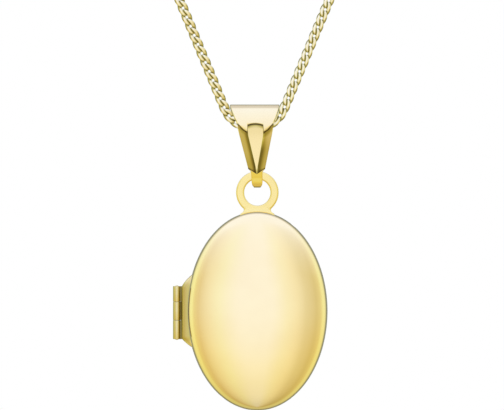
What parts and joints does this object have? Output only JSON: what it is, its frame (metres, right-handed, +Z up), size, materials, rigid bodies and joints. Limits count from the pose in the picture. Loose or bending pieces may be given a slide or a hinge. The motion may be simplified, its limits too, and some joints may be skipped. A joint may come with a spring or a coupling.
{
  "type": "locket necklace",
  "caption": "Oval polished gold locket that opens on a side hinge, hung by a tapered faceted bail on a fine curb chain with a bolt-ring clasp.",
  "frame": {"origin": "axis of the round peg that the spare chain is wound on, midway along the winding", "axes": "+Z up as the necklace hangs, the locket's front faces -Y, the locket's hinge is on -X, +Y runs along the peg towards the back"},
  "size_m": [0.0208, 0.0072, 0.0583],
  "materials": {
    "locket_gold": "high polish yellow gold",
    "inner_gold": "bright satin yellow gold",
    "hinge_gold": "polished yellow gold",
    "eye_gold": "polished yellow gold",
    "bail_gold": "high polish yellow gold",
    "chain_gold": "diamond-cut yellow gold links",
    "clasp_gold": "polished yellow gold",
    "spring_steel": "fine bright wire",
    "clear_film": "clear plastic film",
    "blank_card": "matt ivory card"
  },
  "bodies": {
    "chain": {"chain_run": "chain_gold", "chain_coil": "chain_gold", "chain_end_left": "chain_gold", "chain_end_right": "chain_gold", "clasp_body": "clasp_gold", "clasp_spring": "spring_steel", "clasp_eye": "clasp_gold", "clasp_link": "clasp_gold", "end_ring": "clasp_gold"},
    "bail": {"bail": "bail_gold"},
    "locket_back": {"back_cover": "locket_gold", "snap_rim": "inner_gold", "back_photo_frame": "inner_gold", "back_window": "clear_film", "back_photo_card": "blank_card", "back_hinge_leaf": "hinge_gold", "hanging_eye": "eye_gold", "hinge_knuckle_middle": "hinge_gold", "hinge_pin": "hinge_gold"},
    "locket_front": {"front_cover": "locket_gold", "front_photo_frame": "inner_gold", "front_window": "clear_film", "front_photo_card": "blank_card", "front_hinge_leaf": "hinge_gold", "hinge_knuckle_upper": "hinge_gold", "hinge_knuckle_lower": "hinge_gold"},
    "clasp_bolt": {"clasp_bolt": "clasp_gold"}
  },
  "joints": [
    {"name": "bail_swing", "type": "hinge", "parent": "chain", "child": "bail", "pos_m": [0, 0, -0.02154], "axis": [1, 0, 0], "range_deg": [-80, 80]},
    {"name": "locket_swing", "type": "hinge", "parent": "bail", "child": "locket_back", "pos_m": [0.00025, 0, -0.0273], "axis": [0, 1, 0], "range_deg": [-50, 50]},
    {"name": "locket_hinge", "type": "hinge", "parent": "locket_back", "child": "locket_front", "pos_m": [-0.00662, 0, -0.03742], "axis": [0, 0, -1], "range_deg": [0, 165]},
    {"name": "clasp_pull", "type": "hinge", "parent": "chain", "child": "clasp_bolt", "pos_m": [0.0006, 0, 0.01125], "axis": [0, 0, 1], "range_deg": [0, 45], "stiffness_Nm_per_rad": 0.0005, "springref_deg": -17.19, "deforming": ["clasp_spring"]}
  ]
}
